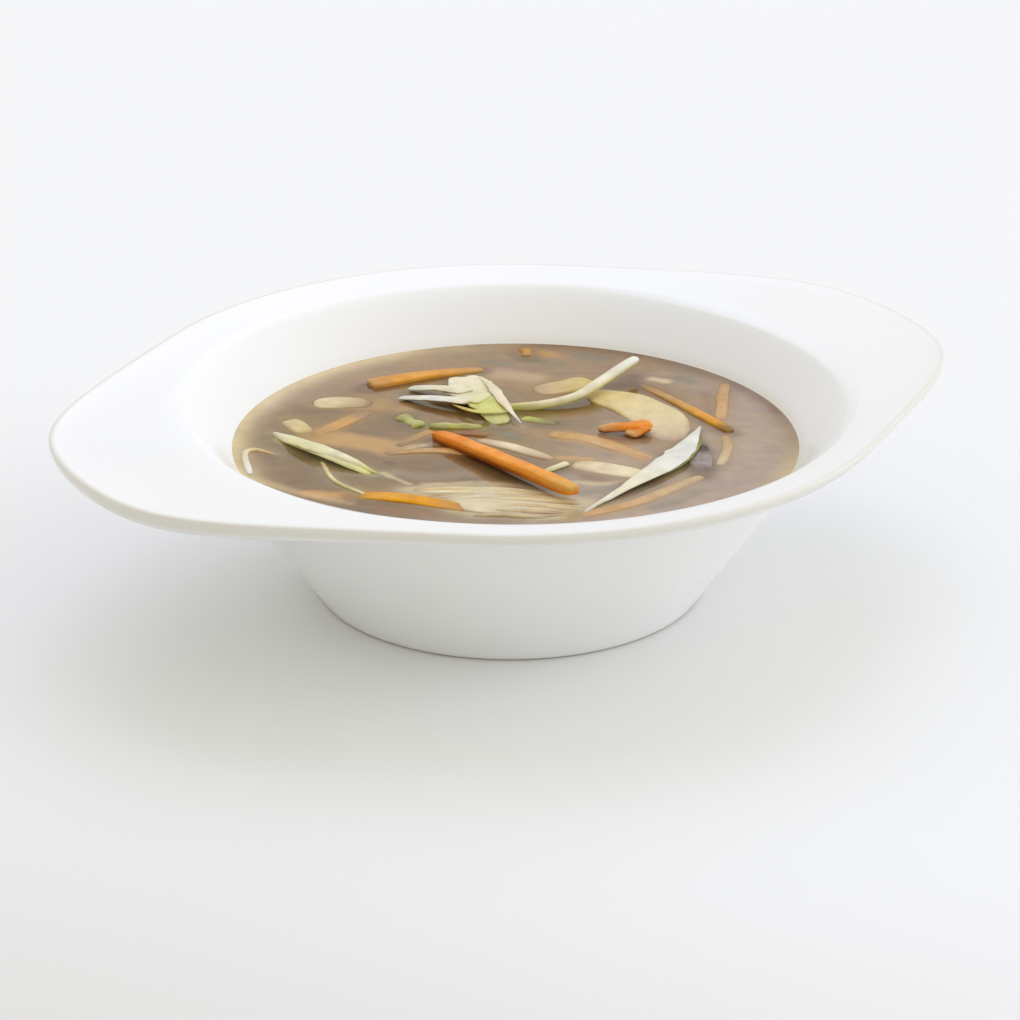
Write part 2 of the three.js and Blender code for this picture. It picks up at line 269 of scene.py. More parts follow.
def fibreGroup():
    # lengthwise fibres: noise drawn out along the grain darkens the colour and gives a height
    tree, given, result = newGroup(
        "fibres",
        [("Color", "Color", (1, 1, 1, 1)), ("Grain", "Vector", (0, 0, 0)), ("Fineness", "Float", 1.5),
         ("Drawn Out", "Float", 0.1), ("Depth", "Float", 0.2)],
        [("Color", "Color"), ("Height", "Float")])
    colour, fine = given["Color"], given["Fineness"]
    along = timesOf(tree, fine, given["Drawn Out"])
    spread = addNode(tree, "ShaderNodeCombineXYZ", {0: along, 1: fine, 2: fine}).outputs[0]
    place = vectorOf(tree, "MULTIPLY", given["Grain"], spread)[0]
    lines = rangeOf(tree, noiseOf(tree, place, 1.0, 4.0, Roughness=0.6), 0.3, 0.7)
    lost = addNode(tree, "ShaderNodeMath", {0: 1.0, 1: lines}, operation="SUBTRACT").outputs[0]
    share = timesOf(tree, lost, given["Depth"])
    tree.links.new(blendOf(tree, share, colour, deepOf(tree, colour, 1.55)), result["Color"])
    tree.links.new(lines, result["Height"])
    return tree


def moistGroup():
    # uneven wetness: slow noise shifts the brightness a little and moves roughness between two values
    tree, given, result = newGroup(
        "moisture",
        [("Color", "Color", (1, 1, 1, 1)), ("Grain", "Vector", (0, 0, 0)), ("Size", "Float", 0.5),
         ("Amount", "Float", 0.1), ("Wet", "Float", 0.12), ("Dry", "Float", 0.4)],
        [("Color", "Color"), ("Roughness", "Float")])
    colour = given["Color"]
    patch = rangeOf(tree, noiseOf(tree, given["Grain"], given["Size"], 3.0), 0.32, 0.68)
    share = timesOf(tree, patch, given["Amount"])
    tree.links.new(blendOf(tree, share, colour, deepOf(tree, colour, 1.3)), result["Color"])
    tree.links.new(rangeOf(tree, patch, 0.0, 1.0, given["Wet"], given["Dry"]), result["Roughness"])
    return tree


fibres = fibreGroup()
moisture = moistGroup()

finishes = {  # fibres per mm, how drawn out and how dark; patches per mm and how strong; then the surface
    "carrotFlesh": dict(fineness=1.7, drawn=0.1, depth=0.4, size=0.35, amount=0.45, wet=0.3, dry=0.55,
                        shine=0.22, glow=0.08, bump=0.14),
    "stewedFlesh": dict(fineness=1.2, drawn=0.1, depth=0.35, size=0.3, amount=0.45, wet=0.18, dry=0.4,
                        shine=0.4, glow=0.05, bump=0.1),
    "leafFlesh": dict(fineness=2.4, drawn=0.04, depth=0.3, size=0.25, amount=0.2, wet=0.25, dry=0.5,
                      shine=0.3, glow=0.2, bump=0.12),
    "heartFlesh": dict(fineness=1.6, drawn=0.05, depth=0.3, size=0.3, amount=0.25, wet=0.25, dry=0.5,
                       shine=0.3, glow=0.2, bump=0.1),
    "greenFlesh": dict(fineness=2.0, drawn=0.08, depth=0.4, size=0.5, amount=0.45, wet=0.2, dry=0.45,
                       shine=0.35, glow=0.1, bump=0.12),
    "shootFlesh": dict(fineness=1.1, drawn=0.06, depth=0.28, size=0.22, amount=0.3, wet=0.22, dry=0.45,
                       shine=0.35, glow=0.15, bump=0.1),
    "noodleFlesh": dict(fineness=1.8, drawn=0.05, depth=0.3, size=0.4, amount=0.3, wet=0.2, dry=0.4,
                        shine=0.35, glow=0.15, bump=0.06),
    "mushroomFlesh": dict(fineness=1.4, drawn=0.3, depth=0.5, size=0.6, amount=0.5, wet=0.25, dry=0.5,
                          shine=0.3, glow=0.0, bump=0.15),
}


def foodMaterial(name, finish):
    # the piece's colours, with painted shade on lower sides and a painted highlight on edges, then fibres,
    # then moisture; the fibres also lift the surface
    material, tree = newMaterial(name)
    tone = addNode(tree, "ShaderNodeAttribute", attribute_name="tone").outputs["Color"]
    grain = addNode(tree, "ShaderNodeAttribute", attribute_name="grain").outputs["Vector"]
    lines = addNode(tree, "ShaderNodeGroup", {
        "Color": tone, "Grain": grain, "Fineness": finish["fineness"], "Drawn Out": finish["drawn"],
        "Depth": finish["depth"]}, node_tree=fibres).outputs
    moist = addNode(tree, "ShaderNodeGroup", {
        "Color": lines["Color"], "Grain": grain, "Size": finish["size"], "Amount": finish["amount"],
        "Wet": finish["wet"], "Dry": finish["dry"]}, node_tree=moisture).outputs
    bump = bumpOf(tree, finish["bump"], 0.0002, lines["Height"])
    giveSurface(tree, {
        "Base Color": moist["Color"], "Roughness": moist["Roughness"], "Normal": bump,
        "Subsurface Weight": finish["glow"], "Subsurface Radius": (1.0, 0.85, 0.65),
        "Subsurface Scale": 0.0009, "IOR": 1.4, "Specular IOR Level": finish["shine"]})
    return material


flesh = {name: foodMaterial(name, finish) for name, finish in finishes.items()}


def porcelainMaterial():
    # white glaze with a faint cool and warm unevenness; the flat of the foot ring is left unglazed
    look = dict(glaze=(0.83, 0.84, 0.85), thin=(0.86, 0.85, 0.83), biscuit=(0.62, 0.57, 0.5),
                footTop=0.0007, smoothest=0.12, dullest=0.22, biscuitRough=0.75)
    material, tree = newMaterial("glazedPorcelain")
    place = addNode(tree, "ShaderNodeTexCoord").outputs["Object"]
    slow = noiseOf(tree, place, 22.0, 2.0)
    body = blendOf(tree, slow, (*look["glaze"], 1), (*look["thin"], 1))
    # tone brings in the rim edge's painted shade and the soup-coloured tint above the soup
    tone = addNode(tree, "ShaderNodeAttribute", attribute_name="tone").outputs["Color"]
    body = blendOf(tree, 1.0, body, tone, "MULTIPLY")
    height = addNode(tree, "ShaderNodeSeparateXYZ", {0: place}).outputs["Z"]
    bare = rangeOf(tree, height, look["footTop"], look["footTop"] * 0.3)
    colour = blendOf(tree, bare, body, (*look["biscuit"], 1))
    gloss = rangeOf(tree, noiseOf(tree, place, 140.0, 2.0), 0.0, 1.0, look["smoothest"], look["dullest"])
    rough = addNode(tree, "ShaderNodeMix", {0: bare, 2: gloss, 3: look["biscuitRough"]}).outputs[0]
    giveSurface(tree, {"Base Color": colour, "Roughness": rough, "Normal": bumpOf(tree, 0.06, 0.0004, slow),
                       "IOR": 1.5, "Specular IOR Level": 0.3})
    return material


def brothMaterial():
    # the painted soup with fine cloudiness; its wet surface is almost a mirror, with a faint tremble
    look = dict(haze=0.3, grit=0.25, deep=1.35, smoothest=0.05, dullest=0.16)
    material, tree = newMaterial("cloudyBroth")
    tone = addNode(tree, "ShaderNodeAttribute", attribute_name="tone").outputs["Color"]
    place = addNode(tree, "ShaderNodeTexCoord").outputs["Object"]
    haze = noiseOf(tree, place, 260.0, 5.0, Distortion=0.6)
    cloud = rangeOf(tree, haze, 0.35, 0.7, 0.0, look["haze"])
    grit = rangeOf(tree, noiseOf(tree, place, 1500.0, 2.0), 0.5, 0.8, 0.0, look["grit"])
    deep = deepOf(tree, tone, look["deep"])
    colour = blendOf(tree, grit, blendOf(tree, cloud, tone, deep), deep)
    gloss = rangeOf(tree, haze, 0.0, 1.0, look["smoothest"], look["dullest"])
    tremble = bumpOf(tree, 0.12, 0.0003, noiseOf(tree, place, 120.0, 2.0))
    giveSurface(tree, {"Base Color": colour, "Roughness": gloss, "Normal": tremble, "IOR": 1.4})
    return material


print("materials made")


# The bowl.

def roundedOutline(corners, steps=9):
    # each inner corner becomes a quadratic curve; its last two numbers are the curve's reach either way
    points, before, after = corners[:, :2], corners[1:-1, 2, None], corners[1:-1, 3, None]
    middle = points[1:-1]
    back, ahead = points[:-2] - middle, points[2:] - middle
    start = middle + back / np.linalg.norm(back, axis=1)[:, None] * before
    end = middle + ahead / np.linalg.norm(ahead, axis=1)[:, None] * after
    t = np.linspace(0, 1, steps)[:, None, None]
    curve = (1 - t) ** 2 * start + 2 * t * (1 - t) * middle + t ** 2 * end
    return np.concatenate([points[:1], curve.transpose(1, 0, 2).reshape(-1, 2), points[-1:]])


def refined(outline, spacing):
    # more points on the long straight stretches of an outline
    length = np.concatenate([[0], np.cumsum(np.linalg.norm(np.diff(outline, axis=0), axis=1))])
    at = np.unique(np.round(np.concatenate([length, np.arange(0, length[-1], spacing)]), 2))
    return np.stack([np.interp(at, length, outline[:, k]) for k in range(2)], axis=-1)


def innerWall(z):
    # the radius of the inner wall at a height, a straight line
    return soupRadius + wallLean * (z - soupLevel)


def floorCurve(inset=0.0):
    # a quarter of an ellipse from the inner wall to the flat of the floor
    form = dict(floor=5.2, flat=26, steps=14)
    turn = np.linspace(0, math.pi / 2, form["steps"])
    r = form["flat"] + (innerWall(floorTop) - form["flat"]) * np.cos(turn) - inset
    return np.stack([r, floorTop - (floorTop - form["floor"]) * np.sin(turn) + inset], axis=-1)


def rimEdge(angle):
    # a circle with straight tangent sides towards each wing, cut by an arc round the bowl, corners rounded
    rim = dict(radius=82.6, root=math.radians(54), reach=101.7, sharpness=17)
    turned = np.abs(np.arctan2(np.sin(angle), np.cos(angle)))
    fromWing = np.minimum(turned, np.pi - turned)
    side = rim["radius"] / np.cos(np.maximum(rim["root"] - fromWing, 0))
    n = rim["sharpness"]
    return (side ** -n + rim["reach"] ** -n) ** (-1 / n)


def makeBowl():
    # a half section turned round Z; outside the mouth it moves out to the wings' edge, its lip unchanged,
    # and inside the mouth it sits a little to one side
    form = dict(foot=41.9, footWidth=3.6, recess=1.5, wallRun=0.7, shoulder=41.4, mouth=71.2,
                mouthHeight=43.9, mouthBlend=6, rim=82.6, thickness=3.9, bevel=1.8, noseLow=1.5,
                noseHigh=0.1, lip=3.4, drop=0.6, deepen=0.8, deepenFrom=1.0, deepenTo=2.8, columns=480,
                spacing=1.6)
    look = dict(rimEdgeShade=(0.86, 0.83, 0.76), edgeShadeFrom=1.6, edgeShadeTo=0.2, soupTint=(0.86, 0.77, 0.62),
                tintReach=1.3, tintRagged=0.4, tintLeft=0.1, tintRight=0.6)
    ring, wall = form["foot"] - form["footWidth"], form["foot"] + form["wallRun"] * form["shoulder"]
    corners = np.array([
        [0, form["recess"], 0, 0],
        [ring - 0.7, form["recess"], 0.5, 0.5],
        [ring, 0, 0.5, 0.5],
        [form["foot"], 0, 0.8, 0.8],
        [wall, form["shoulder"], 5, 4],
        [form["rim"] - form["bevel"], rimHeight - form["thickness"], 1.8, 1.1],
        [form["rim"], rimHeight - form["noseLow"], 0.9, 0.6],
        [form["rim"], rimHeight - form["noseHigh"], 0.7, 1.8],
        [innerWall(form["mouthHeight"]), form["mouthHeight"], 1.6, 7],
        [innerWall(floorTop), floorTop, 0, 0],
    ])
    outline = refined(np.concatenate([roundedOutline(corners)[:-1], floorCurve()]), form["spacing"])
    angle = np.linspace(0, 2 * np.pi, form["columns"], endpoint=False)
    r, z, a = outline[1:, :1], outline[1:, 1:], angle[None]
    edge = rimEdge(a)
    share = np.clip((r - form["mouth"]) / (form["rim"] - form["lip"] - form["mouth"]), 0, 1)
    stretched = r + share * (edge - form["rim"])
    under = form["deepen"] * smooth(rimHeight - form["deepenFrom"], rimHeight - form["deepenTo"], z)
    drop = (form["drop"] + under) * share * (edge - form["rim"]) / (wingReach - form["rim"])
    inside = np.arange(len(r))[:, None] > r.argmax()
    hollow = smooth(form["mouth"] + form["mouthBlend"], form["mouth"], r) * inside
    rings = np.stack([*roundHollow(stretched, a, hollow), z - drop], axis=-1)
    # painted shade: the rim's outer edge is darker and warmer
    thin = smooth(form["rim"] - look["edgeShadeFrom"], form["rim"] - look["edgeShadeTo"], r)
    tone = mix(np.ones(3), look["rimEdgeShade"], thin * (z < rimHeight - look["edgeShadeTo"]))
    # a soup-coloured tint on the inner wall just above the soup, stronger on the right
    above = z - soupLevel + look["tintRagged"] * cloudy(3 * r, 40 * a, 51, 6)
    show = look["tintLeft"] + (look["tintRight"] - look["tintLeft"]) * (0.5 + 0.5 * np.cos(a - seatTurn))
    show = show * np.exp(-(above / look["tintReach"]) ** 2) * (z > soupLevel - 1) * inside
    tone = mix(tone, look["soupTint"], show)
    shell = dict(rings=rings, tone=tone, grain=rings)
    makePiece("porcelain_bowl", [shell], porcelainMaterial(), "porcelain", "bowl")


makeBowl()
print("bowl made")


# Pieces of food carried along a path.

def curveAt(points, u):
    # uniform Catmull-Rom curve through the points, its ends mirrored; the place and the direction at u
    points = np.array(points, float)
    wide = np.concatenate([2 * points[:1] - points[1:2], points, 2 * points[-1:] - points[-2:-1]])
    at = np.clip(u, 0, 1) * (len(points) - 1)
    k = np.minimum(at.astype(int), len(points) - 2)
    t = (at - k)[..., None]
    a, b, c, d = (wide[k + i] for i in range(4))
    slope, bend, twist = c - a, 2 * a - 5 * b + 4 * c - d, 3 * b - a - 3 * c + d
    place = 0.5 * (2 * b + slope * t + bend * t ** 2 + twist * t ** 3)
    heading = 0.5 * (slope + 2 * bend * t + 3 * twist * t ** 2)
    return place, heading / np.linalg.norm(heading, axis=-1, keepdims=True)


outlines = {  # width along a piece, as a share of its full width
    "even": lambda u: np.ones_like(u),
    "tapered": lambda u: 1 - 0.45 * u,
    "widening": lambda u: 0.6 + 0.4 * u,
    "blade": lambda u: 0.16 + 0.84 * np.sin(np.pi * u ** 0.8) ** 1.2,
    "fan": lambda u: 0.7 + 0.3 * np.sin(np.pi * u),
    "stem": lambda u: 0.42 + 0.58 * u,
    "wedge": lambda u: 0.3 + 0.7 * u,
    "petal": lambda u: np.interp(u, [0, 0.35, 0.62, 1], [0.8, 1, 0.8, 0.5]),
    "feather": lambda u: 0.1 + 0.9 * np.sin(np.pi * u ** 0.8) ** 1.7,
}


def brothAt(x, y):
    # the bare soup: olive brown, mauve on the right and in front of it, clouded in each colour; painted
    # light brightens the olive towards the back and painted shade darkens it towards the front left
    look = dict(leanFrom=2, leanTo=46, leanTurn=0.6, leanWander=16, backLight=0.18, frontDark=0.16,
                cloud=0.1, streak=0.1)
    lean = x - look["leanTurn"] * y + look["leanWander"] * cloudy(x, y, 11, 14)
    lean = smooth(look["leanFrom"], look["leanTo"], lean)
    # painted light towards the back, painted shade towards the front left
    light = look["backLight"] * smooth(0, 45, y) - look["frontDark"] * smooth(10, -25, x + y)
    base = mix(paint("brothOlive"), paint("brothMauve"), lean) * (1 + light * (1 - lean))[..., None]
    cloud = np.stack([cloudy(x, y, 21 + k, 4.5) for k in (0, 0, 4)], axis=-1)
    streak = cloudy(x, 3.2 * y, 27, 7)[..., None] * [1, 0.8, 0.4]
    return base * (1 + look["cloud"] * cloud + look["streak"] * streak)


footprints = []  # of every piece: its line, half width and the heights of its top and underside
# how far the colours wander, how patchy the skin is, how strong the painted highlight along its edges is
# and how wet it is near the soup
skin = dict(wander=0.04, wanderSize=1.5, patch=0.1, patchSize=2.2, cornerHighlight=0.4, paleShow=0.5, wetShow=0.5)


def signedPower(value, exponent):
    # a power that keeps the sign, which squares up a circle
    return np.sign(value) * np.abs(value) ** exponent


def morsel(seed, path, width, depth, hues, outline="even", under=None, veil=0.0, raised=0.0, cup=0.0,
           blunt=7, corner=0.5, rings=90, sides=44, ridge=0.03, ridgeWave=0.5, lump=0.05, lumpWave=6.0,
           waver=0.0, thin=0.0, slant=0.0, cut=0.0, shade=1.0):
    # rings of a squared section along the path; half width and half depth shrink to the ends by
    # (1 - |2u - 1|^blunt)^(1 / blunt), and mottle adds ridges along it, uneven sides and wavy edges
    path = np.array(path, float) + [0, 0, soupLevel + raised - depth / 2]
    polar = np.linspace(0, np.pi, rings + 2)[1:-1]
    turn = np.linspace(0, 2 * np.pi, sides, endpoint=False) + np.pi / sides
    u, turn = np.meshgrid((1 - np.cos(polar)) / 2, turn, indexing="ij")
    place, heading = curveAt(path, u)
    side = np.stack([-heading[..., 1], heading[..., 0], np.zeros_like(u)], axis=-1)
    side /= np.linalg.norm(side, axis=-1, keepdims=True)
    up = np.cross(heading, side)
    length = np.linalg.norm(np.diff(curveAt(path, np.linspace(0, 1, 60))[0], axis=0), axis=1).sum()
    along = u * length
    end = np.maximum(0, 1 - np.abs(2 * u - 1) ** blunt) ** (1 / blunt)
    across = signedPower(np.cos(turn), corner)
    lift = signedPower(np.sin(turn), corner)
    uneven = 1 + lump * mottle(along, 9 * np.sign(across), seed, lumpWave)
    x = across * end * outlines[outline](u) * uneven * width / 2
    z = lift * end * depth / 2 * (1 - thin * np.abs(across) ** 3)
    grooves = ridge * mottle(x / ridgeWave, along / (ridgeWave * 14), seed + 2, 1.0) * end
    wave = cloudy(along, 40 * np.sign(across), seed + 4, lumpWave)
    z = z + grooves * np.abs(lift) + waver * across ** 2 * wave
    x = x + grooves * signedPower(across, 3)
    z = z + lump * depth * 0.4 * mottle(along, x, seed + 6, lumpWave) - cup * (1 - across ** 2)
    slide = slant * x * np.abs(2 * u - 1) ** 8
    points = place + side * x[..., None] + up * z[..., None] + heading * slide[..., None]
    tone = shades(hues, u + skin["wander"] * mottle(along, x, seed + 8, skin["wanderSize"]))
    # painted shade: the lower sides take the under colours, and carrotUnder and leafShade among them stand
    # for shade
    if under:
        tone = mix(tone, shades(under, u), smooth(0.25, -0.35, lift))
    # painted highlight along the corners of the section; the cut ends are made paler too
    edges = smooth(0.7, 0.9, np.minimum(np.abs(across), np.abs(lift)))
    pale = skin["cornerHighlight"] * edges + cut * smooth(0.95, 0.6, end)
    tone = mix(tone, np.sqrt(tone) * 0.95, skin["paleShow"] * np.clip(pale, 0, 1))
    tone = tone * (1 + skin["patch"] * mottle(along, x + 3 * z, seed + 9, skin["patchSize"]))[..., None]
    height = points[..., 2] - soupLevel
    broth = brothAt(points[..., 0], points[..., 1])
    soupTint = np.clip(course(veil, u) + skin["wetShow"] * smooth(0.35, -0.1, height), 0, 1)
    tone = mix(tone, broth, soupTint)
    share = np.linspace(0, 1, 50)
    line = curveAt(path, share)[0]
    taper = np.maximum(0.2, 1 - np.abs(2 * share - 1) ** blunt) ** (1 / blunt)
    half = width / 2 * outlines[outline](share) * taper
    footprints.append(dict(line=line, half=half, top=line[:, 2] + depth / 2 - soupLevel,
                           bottom=line[:, 2] - depth / 2 - cup - soupLevel, shade=shade,
                           hue=shades(under or hues, 0.5)))
    grain = np.stack([along + 37.0 * seed, x + 11.0 * seed, z], axis=-1)
    x, y = seated(points[..., 0], points[..., 1])
    return dict(rings=np.stack([x, y, points[..., 2]], axis=-1), tone=tone, grain=grain)


def makeFood(pieces, common, material, slot, firstSeed):
    # each entry stands for the solid of the same name: the piece, then any folds or shreds that lie on it
    for k, (name, parts) in enumerate(pieces.items()):
        shells = [morsel(firstSeed + 20 * k + n, **{**common, **part}) for n, part in enumerate(parts)]
        makePiece(name + "_piece", shells, flesh[material], slot, name)


def makeCarrots():
    sticks = {
        "carrot_stick_main": [dict(
            path=[[-15.8, 0.6, 2.4], [-1.2, -17.6, 3.5], [13.4, -35.6, 4.1]], width=3.5, depth=2.7,
            hues="carrotDeep carrotBright carrotBright carrotHoney",
            under="carrotUnder carrotUnder carrotDeep", slant=0.3, blunt=7)],
        "carrot_chunk": [dict(
            path=[[19.4, 4.2, 1.7], [25, 3.8, 2.4], [30.2, 5.6, 2.6]], width=4.6, depth=1.8, blunt=6,
            outline="wedge", hues="carrotStewed carrotDeep carrotBright", shade=0.5,
            under="carrotUnder bambooBlush", lump=0.4, lumpWave=1.7, slant=-0.6, corner=0.6,
            thin=0.4), dict(
            path=[[28.8, 4.8, 2.3], [26, 0.8, 1.8]], width=5.8, depth=1.9, blunt=4, outline="tapered",
            hues="carrotBright carrotDeep carrotStewed", shade=0.3, under="carrotUnder", lump=0.4,
            lumpWave=1.5, corner=0.6, thin=0.4)],
        "carrot_stick_back": [dict(
            path=[[-31.4, 33, 1.3], [-19, 39, 1.1], [-6, 43.8, 0.5]], width=5, depth=2.6,
            outline="tapered", hues="carrotTan carrotGold carrotGold carrotGold carrotTan",
            under="carrotUnder", veil=(0.1, 0, 0.05, 0.3))],
        "carrot_stick_front": [dict(
            path=[[-31.5, -31, 0.1], [-20.5, -33.6, 0.3], [-8.6, -38.6, 0]], width=4.6, depth=2.6,
            hues="carrotAmber carrotAmber carrotAmber carrotGold", under="carrotAmber",
            veil=(0.2, 0.0, 0.05, 0.35), raised=0.2)],
        "carrot_stick_right": [dict(
            path=[[29.4, 34.6, 0], [39.2, 19.6, 0.4], [48.2, 4.8, 0.6]], width=2.6, depth=2.2,
            hues="carrotTan carrotTan carrotTan carrotHoney carrotGold carrotAmber carrotOlive",
            under="carrotUnder", veil=(0.5, 0.2, 0, 0), raised=0.2)],
        "carrot_bit_back": [dict(
            path=[[3.2, 57.8, 0.2], [4.8, 52.8, 0.2]], width=4.4, depth=2, raised=0.2,
            hues="carrotUnder carrotHoney carrotTan", veil=(0.1, 0.4), lump=0.5, lumpWave=1.6, blunt=4,
            corner=0.75)],
    }
    makeFood(sticks, dict(blunt=9, corner=0.45, rings=100, lump=0.08, lumpWave=5.0, cut=0.5), "carrotFlesh",
             "carrot", 1000)
    strips = {
        "carrot_stick_far": [dict(
            path=[[48.6, 34, 0.4], [47.4, 24, 0.4], [46.4, 12, 0.1]], width=2.8, depth=2,
            hues="carrotTan carrotTan carrotStewed", under="carrotPink", veil=(0.3, 0.15))],
        "carrot_strip_middle": [dict(
            path=[[7.4, 4.2, 0], [18, 0, 0.1], [30.4, -11.6, 0]], width=4.8, depth=2,
            hues="carrotTan carrotHoney carrotStewed carrotHoney carrotTan",
            veil=(0.35, 0.1, 0.3, 0.15))],
        "carrot_strip_left": [dict(
            path=[[-42.6, 2.4, 0], [-36.6, 10.4, 0.1], [-30.6, 18, 0]], width=4.4, depth=2,
            hues="carrotHoney carrotHoney carrotTan", veil=(0.1, 0.2, 0.5))],
        "carrot_strip_low": [dict(
            path=[[-27.4, -8, 0], [-15, -6.2, 0.2], [-5.4, -9, 0.1]], width=2.8, depth=1.8,
            hues="carrotTan carrotStewed carrotHoney", veil=(0.4, 0.1, 0.1))],
        "carrot_shred": [dict(
            path=[[-24.4, -4, 0], [-16.8, 6, 0.1]], width=2.8, depth=1.8, hues="carrotStewed carrotTan",
            veil=(0.5, 0.2))],
        "carrot_stub": [dict(
            path=[[-12.6, 4.2, 0.2], [-4.6, 3.2, 0.3]], width=3, depth=2,
            hues="carrotOlive carrotUnder carrotOlive", veil=0.25)],
    }
    makeFood(strips, dict(raised=0.2, blunt=6, rings=80, shade=0.2, lump=0.12, lumpWave=4.0), "stewedFlesh",
             "stewed_carrot", 2000)


def makeLeaves():
    common = dict(rings=110, sides=52, ridge=0.07, ridgeWave=0.8, lump=0.1, lumpWave=4.0, waver=0.3,
                  thin=0.5, blunt=5)
    shred = dict(rings=70, sides=28, depth=0.5, waver=0.1, corner=0.8, blunt=3, lump=0.15, lumpWave=3.0,
                 shade=0.0)
    leaves = {
        "cabbage_strip_upper": [dict(
            path=[[-22, 30.4, 1], [-15.4, 27, 2.4], [-9.4, 23.6, 2.8]], width=3.8, depth=0.9, blunt=9,
            slant=0.6, outline="widening", corner=0.7, hues="leafWhite leafCream leafCream",
            under="leafUnder leafShade")],
        "cabbage_strip_lower": [dict(
            path=[[-24, 24.4, 1], [-16.4, 21.4, 2], [-8.6, 18.4, 2.3]], width=3.6, depth=0.9, blunt=9,
            slant=0.8, outline="widening", corner=0.7, hues="leafWhite leafWhite leafCream",
            under="leafShade")],
        "cabbage_blade_right": [dict(
            path=[[41.6, 6.4, 0.9], [37.8, -6.6, 1.5], [33.4, -15.8, 1.5], [25, -28, 1.3],
                  [15.4, -41, 0.6]], width=6.3, depth=1.0, outline="feather", corner=0.7, blunt=9,
            hues="leafWhite leafWhite leafWhite leafCream leafWhite", under="leafShade"), dict(
            shred, path=[[41.4, 2, 0.6], [40.2, -6, 0.8], [36.8, -14.4, 0.7], [32.4, -20, 0.4]],
            width=1.3, hues="greenDark green leafShade")],
        "leek_blade_left": [dict(
            path=[[-51.4, 3.4, 0.9], [-44, -6, 2.1], [-35.6, -13.2, 2], [-27.4, -19.8, 0.2]], width=4.2,
            depth=1.6, outline="blade", corner=0.7, hues="leafCream leafPale leafCream leafUnder",
            under="leafUnder leafUnder leafShade"), dict(
            shred, path=[[-49.6, 0.6, 0.6], [-43.8, -7.2, 1.6], [-36.4, -14.2, 1.5], [-29, -20, 0.2]],
            width=2.4, depth=1.0, hues="leafUnder leafPale leafPale leafUnder")],
        "leek_edge_shred": [dict(
            path=[[-50.2, -8.5, 0.3], [-54.6, -6, 0.5], [-56.8, -8.5, 0.6], [-55, -20, 0.6]], width=1.7,
            depth=1, outline="widening", corner=0.8, hues="noodleTan noodlePale leafWhite", waver=0.05)],
        "leek_bit": [dict(
            path=[[7.4, -18.4, 0.4], [12.4, -14.2, 0.6]], width=1.8, depth=1.2,
            hues="greenPale leafCream", under="greenTeal", waver=0.05, rings=60, raised=0.2)],
        "leek_stalk": [dict(
            path=[[-0.4, 18.2, 1.5], [7, 18.6, 2], [14.5, 21.6, 2.8], [20.4, 28, 4], [28.6, 40, 5]],
            width=2.9, depth=1.9, outline="stem", corner=0.8, blunt=9, thin=0, waver=0,
            hues="leafUnder leafCream leafCream leafWhite", under="leafUnder leafUnder leafHeart")],
    }
    makeFood(leaves, common, "leafFlesh", "cabbage", 3000)
    heart = {
        "cabbage_heart": [dict(
            path=[[-10.6, 37.6, 1.3], [-8.2, 28.6, 2], [-5, 18.6, 2], [-1.6, 9.6, 0.9]], width=10.2,
            depth=1.2, outline="petal", cup=0.4, ridge=0.12, ridgeWave=1.3, waver=0.4, lumpWave=3,
            hues="leafBlush leafCream leafCream leafPale leafHeart leafUnder greenPale",
            under="leafUnder"), dict(
            shred, path=[[-14.4, 27.2, 1.5], [-10, 24, 2.1], [-5, 20.6, 2.2]], width=8.6, depth=0.7,
            outline="wedge", blunt=6, hues="leafCream leafCream leafPale"), dict(
            shred, path=[[-6.6, 35, 1.9], [-3.6, 26, 2.5], [-1, 17, 2.2], [2.6, 8.6, 0.8]], width=2.4,
            outline="blade", hues="leafBlush leafCream leafBlush leafWhite"), dict(
            shred, path=[[-12.8, 18.6, 1.5], [-8, 13.6, 1.8], [-3.6, 12.8, 1.8], [1, 14.6, 1.4]],
            width=1.8, outline="blade", hues="bambooGold leafHeart leafUnder")],
    }
    makeFood(heart, common, "heartFlesh", "cabbage_heart", 4000)
    greens = {
        "leek_green_chunk": [dict(
            path=[[-23.6, 14.4, 0.6], [-19.8, 7.6, 0.8]], width=3.6, depth=1.6,
            hues="greenPale green greenPale green", under="greenDark", veil=(0.3, 0))],
        "leek_green_strand": [dict(
            path=[[-17.6, 7.6, 0.8], [-12, 7.4, 1], [-6, 7.9, 0.6]], width=2.3, depth=1.5,
            hues="green greenPale leafHeart greenPale green", under="green", veil=(0.4, 0.15, 0.3, 0.1))],
        "leek_green_right": [dict(
            path=[[2.6, 13, 0.5], [11, 10, 0.4]], width=3.2, depth=1.6, hues="leafHeart green greenDark",
            under="greenDark", veil=(0, 0.1, 0.4))],
    }
    makeFood(greens, dict(rings=80, lump=0.35, lumpWave=2.2, waver=0.3, thin=0.4, corner=0.7, blunt=5,
                          shade=0.4), "greenFlesh", "leek_green", 5000)


